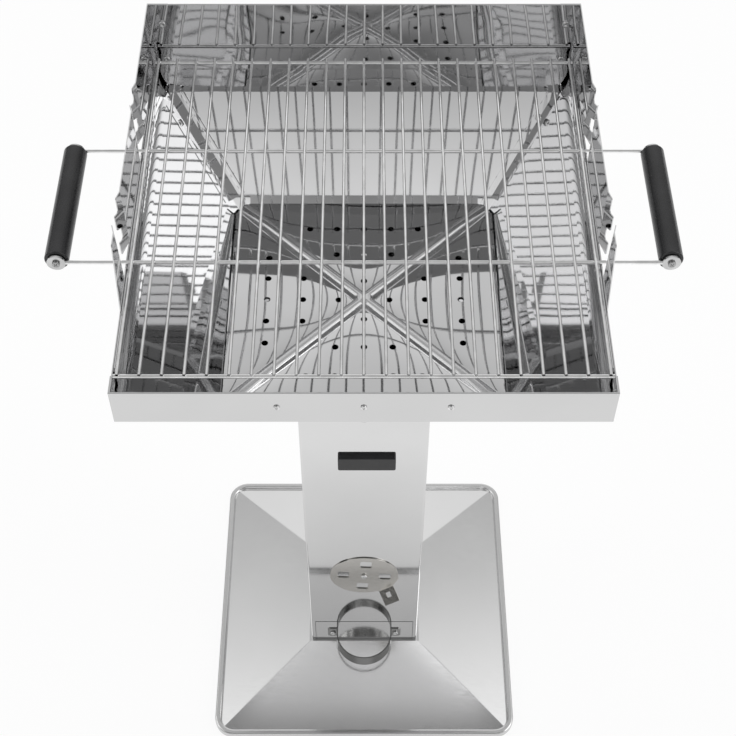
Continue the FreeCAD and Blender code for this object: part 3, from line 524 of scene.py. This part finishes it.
def chamfered(name):
    """Six-sided nuts with their corners taken off, for the plain ones of a node."""
    mesh = whole_faces(name)
    corners = [edge for edge in mesh.edges
               if edge.calc_length() > nut_side_least and edge.calc_face_angle(0.0) > crease_angle]
    bevelled(mesh, corners, nut_chamfer, nut_chamfer_steps)
    return mesh


# Charcoal tray, whose sheet the press has drawn softly down beside its ribs

def eased(value):
    """A value held between 0 and 1, with a soft start and end."""
    value = min(max(value, 0.0), 1.0)
    return value * value * (3 - 2 * value)


def rib_rise(across, along):
    """How high the sheet stands at a distance across a rib and a distance along it."""
    across, along = abs(across), abs(along)
    if across < rib_crown_half:
        rise = rib_height - rib_crown_drop * (across / rib_crown_half) ** 2
    elif across < rib_foot:
        flank = eased((rib_foot - across) / (rib_foot - rib_crown_half))
        rise = draw_height + (rib_height - rib_crown_drop - draw_height) * flank
    else:
        rise = draw_height * math.exp((rib_foot - across) / draw_reach)
    return rise * eased((rib_end_reach - along) / rib_end_slope)


def line_places(reach):
    """Places of the mesh lines beside a rib: close together across it and wider apart further out."""
    places = [0.0]
    step = line_step
    while places[-1] < reach:
        if places[-1] > rib_foot:
            step *= line_growth
        places.append(places[-1] + step)
    return places


def pressed_sheet(half, half_deep):
    """The top face of the tray's floor, with its crossed ribs, from a grid that runs along them."""
    root_two = math.sqrt(2.0)
    places = line_places(half * root_two)
    middle = len(places) - 1
    mesh = bmesh.new()
    bmesh.ops.create_grid(mesh, x_segments=2 * middle, y_segments=2 * middle, size=middle)
    for vert in mesh.verts:
        first, second = (math.copysign(places[round(abs(place))], place) for place in vert.co.xy)
        border = half_deep - max(abs(first + second), abs(first - second)) / root_two
        rises = (rib_rise(first, second), rib_rise(second, first))
        rise = max(rises) + min(rises) * (1 - max(rises) / rib_height)
        vert.co = (first, second, rise * eased(border / draw_border))
    bmesh.ops.rotate(mesh, matrix=Matrix.Rotation(math.radians(45), 3, "Z"), verts=mesh.verts)
    corner = half * root_two - tray_corner_cut / root_two
    reaches = (half, corner, half_deep, corner)
    for turn in range(8):
        way = Matrix.Rotation(math.radians(45 * turn), 3, "Z") @ Vector((1, 0, 0))
        bmesh.ops.bisect_plane(mesh, geom=[*mesh.verts, *mesh.edges, *mesh.faces], dist=weld_reach,
                               plane_co=way * reaches[turn % 4], plane_no=way, clear_outer=True)
    return mesh


def ash_holes():
    """Round cutters for the holes of the tray, in four like quarters."""
    mesh = bmesh.new()
    for quarter in range(4):
        turn = Matrix.Rotation(math.radians(90 * quarter), 4, "Z")
        for row, count in enumerate(ash_row_counts):
            for place in range(count):
                offset = (place - (count - 1) / 2) * ash_hole_pitch
                spot = turn @ Matrix.Translation((offset, ash_row_start + ash_row_pitch * row, 0.0))
                bmesh.ops.create_cone(mesh, cap_ends=True, segments=ash_hole_sides, radius1=ash_hole_radius,
                                      radius2=ash_hole_radius, depth=ash_hole_cutter_length, matrix=spot)
    return mesh


def pressed_tray(name):
    """The pierced tray with its turned-up lips, in the place of the plain one."""
    low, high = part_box(name)
    half = (high[0] - low[0]) / 2
    middle = (low[1] + tray_lip_run[0] + high[1] - tray_lip_run[1]) / 2
    half_deep = half - tray_lip_inset
    mesh = pressed_sheet(half, half_deep)
    for side, run in ((-1, tray_lip_run[0]), (1, tray_lip_run[1])):
        rim = [edge for edge in mesh.edges if edge.is_boundary
               and all(abs(vert.co.y - side * half_deep) < search_reach for vert in edge.verts)]
        drawn_out(mesh, rim, Vector((0.0, side * (run - tray_lip_lean), tray_lip_height - tray_sheet)))
    bmesh.ops.solidify(mesh, geom=mesh.faces[:], thickness=tray_sheet)
    place = Vector((0.0, middle, low[2] + tray_sheet))
    bmesh.ops.translate(mesh, vec=place, verts=mesh.verts)
    holes = ash_holes()
    bmesh.ops.translate(holes, vec=place, verts=holes.verts)
    return pierced(mesh, holes)


# Seam strips

def square_to(along, way):
    """The direction nearest to a way that is square to another one."""
    return (way - way.project(along)).normalized()


def seam_strip(side, name):
    """The side panel's strip along a rear crease, which stands a little off the rear panel."""
    low, high = (Vector((side * x, y, z)) for x, y, z in (crease_low, crease_high))
    along = (high - low).normalized()
    rear = square_to(along, Vector((-side, 0.0, 0.0)))
    flank = square_to(along, Vector((0.0, -1.0, 0.0)))
    rear_face = rear.cross(along) * side
    flank_face = along.cross(flank) * side
    foot = low.lerp(high, strip_span[0])
    places = [foot + flank * strip_flank_reach + flank_face * strip_flank_gap,
              foot + rear * strip_rear_reach + rear_face * strip_rear_gap,
              foot + rear * strip_hem_reach + rear_face * strip_hem_gap]
    mesh = bmesh.new()
    verts = [mesh.verts.new(place) for place in places]
    edges = [mesh.edges.new(pair) for pair in zip(verts, verts[1:])]
    drawn_out(mesh, edges, (high - low) * (strip_span[1] - strip_span[0]))
    bevelled(mesh, [edge for edge in mesh.edges if len(edge.link_faces) == 2], strip_round)
    bmesh.ops.solidify(mesh, geom=mesh.faces[:], thickness=strip_sheet)
    bmesh.ops.recalc_face_normals(mesh, faces=mesh.faces)
    smoothed(finished(name, mesh, finishes["mirror_steel"], "stand"))


# All pieces that are made here

blank_plate()
seam_strip(-1, "seam_strip_left")
seam_strip(1, "seam_strip_right")
fit("charcoal_tray", pressed_tray("charcoal_tray"))
for rivets in ("front_frame_rivets", "left_frame_rivets", "right_frame_rivets", "rear_frame_rivets",
               "apron_corner_rivets", "column_rivets", "drawer_rail_rivets"):
    fit(rivets, headed(rivets, rivet_rim, sink_pit))
for screws in ("base_bolts", "drawer_handle_screws", "funnel_neck_screws", "funnel_seam_screws",
               "grip_bolts", "rear_corner_bolts", "vent_screw"):
    fit(screws, headed(screws, screw_rim, sink_cross))
for nuts in ("base_nuts", "drawer_handle_nuts", "funnel_neck_nuts", "funnel_seam_nuts",
             "grip_nuts", "rear_corner_nuts", "vent_nut"):
    fit(nuts, chamfered(nuts))


# Studio

def studio_paper(name, colour):
    """Pale matt paper, near white to the camera and in the sheet, with a painted shade in its glow in the
    sheet: darker near the object, in place of the object's shadow.
    """
    finish = Finish(name)
    finish.shader.inputs["Base Color"].default_value = (*colour, 1.0)
    finish.shader.inputs["Roughness"].default_value = floor_rough
    rays = finish.add("ShaderNodeLightPath")
    seen = finish.add("ShaderNodeMath", operation="ADD", use_clamp=True)
    finish.join(rays.outputs["Is Glossy Ray"], seen.inputs[0])
    finish.join(rays.outputs["Is Camera Ray"], seen.inputs[1])
    share = finish.add("ShaderNodeMath", operation="MULTIPLY")
    finish.join(seen.outputs[0], share.inputs[0])
    share.inputs[1].default_value = floor_glow
    # Painted shade: in the sheet the floor glows darker the nearer it lies to the object, in place of the
    # object's shadow on it
    reach = finish.add("ShaderNodeVectorMath", operation="LENGTH")
    finish.join(finish.place, reach.inputs[0])
    level = finish.add("ShaderNodeMix")
    finish.join(rays.outputs["Is Camera Ray"], level.inputs["Factor"])
    finish.join(finish.ranged(reach.outputs["Value"], *mirrored_floor_painted_shade, *painted_shade_reach), level.inputs["A"])
    level.inputs["B"].default_value = 1.0
    white = finish.add("ShaderNodeEmission")
    white.inputs["Color"].default_value = (1.0, 1.0, 1.0, 1.0)
    finish.join(level.outputs["Result"], white.inputs["Strength"])
    blend = finish.add("ShaderNodeMixShader")
    finish.join(share.outputs[0], blend.inputs["Fac"])
    finish.join(finish.shader.outputs["BSDF"], blend.inputs[1])
    finish.join(white.outputs[0], blend.inputs[2])
    finish.join(blend.outputs[0], finish.output.inputs["Surface"])
    return finish.material


def floor():
    mesh = bmesh.new()
    bmesh.ops.create_grid(mesh, x_segments=1, y_segments=1, size=floor_half_width)
    ground = placed("floor", mesh)
    ground.data.materials.append(studio_paper("floor_paper", floor_colour))
    ground.location = (0.0, 0.0, -floor_drop)


def sky():
    """A studio that is plain white to the camera, with the bright and dark zones that the sheet mirrors."""
    world = bpy.data.worlds.new("studio")
    scene.world = world
    nodes = Nodes(world)
    output = nodes.add("ShaderNodeOutputWorld")
    background = nodes.add("ShaderNodeBackground")
    background.inputs["Color"].default_value = (1.0, 1.0, 1.0, 1.0)
    nodes.join(background.outputs[0], output.inputs["Surface"])
    place = nodes.add("ShaderNodeTexCoord").outputs["Generated"]
    height = nodes.add("ShaderNodeSeparateXYZ")
    nodes.join(place, height.inputs["Vector"])
    gap = nodes.add("ShaderNodeMapRange", interpolation_type="SMOOTHSTEP")
    gap.inputs["From Min"].default_value, gap.inputs["From Max"].default_value = gap_edge
    gap.inputs["To Min"].default_value = gap_tone
    gap.inputs["To Max"].default_value = studio_tone
    nodes.join(height.outputs["Z"], gap.inputs["Value"])
    tone = gap.outputs["Result"]
    for way, wide, full, level in studio_zones:
        aim = nodes.add("ShaderNodeVectorMath", operation="DOT_PRODUCT")
        aim.inputs[1].default_value = Vector(way).normalized()
        nodes.join(place, aim.inputs[0])
        edge = nodes.add("ShaderNodeMapRange", interpolation_type="SMOOTHSTEP")
        edge.inputs["From Min"].default_value = math.cos(math.radians(wide))
        edge.inputs["From Max"].default_value = math.cos(math.radians(full))
        nodes.join(aim.outputs["Value"], edge.inputs["Value"])
        blend = nodes.add("ShaderNodeMix")
        blend.inputs["B"].default_value = level
        nodes.join(edge.outputs["Result"], blend.inputs["Factor"])
        nodes.join(tone, blend.inputs["A"])
        tone = blend.outputs["Result"]
    shown = nodes.add("ShaderNodeMix")
    shown.inputs["B"].default_value = 1.0
    nodes.join(nodes.add("ShaderNodeLightPath").outputs["Is Camera Ray"], shown.inputs["Factor"])
    nodes.join(tone, shown.inputs["A"])
    nodes.join(shown.outputs["Result"], background.inputs["Strength"])


def lamp(name, place, target, size, watts):
    """A rectangular lamp that isn't mirrored in the sheet."""
    data = bpy.data.lights.new(name, "AREA")
    data.shape = "RECTANGLE"
    data.size, data.size_y = size
    data.energy = watts
    light = bpy.data.objects.new(name, data)
    light.visible_glossy = False
    light.location = place
    light.rotation_euler = (Vector(target) - Vector(place)).to_track_quat("-Z", "Y").to_euler()
    scene.collection.objects.link(light)


def camera():
    data = bpy.data.cameras.new("camera")
    data.sensor_width = sensor_mm
    data.lens = focal_length_px * sensor_mm / picture_px
    data.shift_x = (picture_px / 2 - axis_px[0]) / picture_px
    data.shift_y = (axis_px[1] - picture_px / 2) / picture_px
    view = bpy.data.objects.new("camera", data)
    view.location = camera_place
    view.rotation_euler = (math.radians(90 - camera_tilt), 0.0, 0.0)
    scene.collection.objects.link(view)
    scene.camera = view


floor()
sky()
for name, values in lamps.items():
    lamp(name, *values)
camera()
scene.view_settings.view_transform = "Standard"
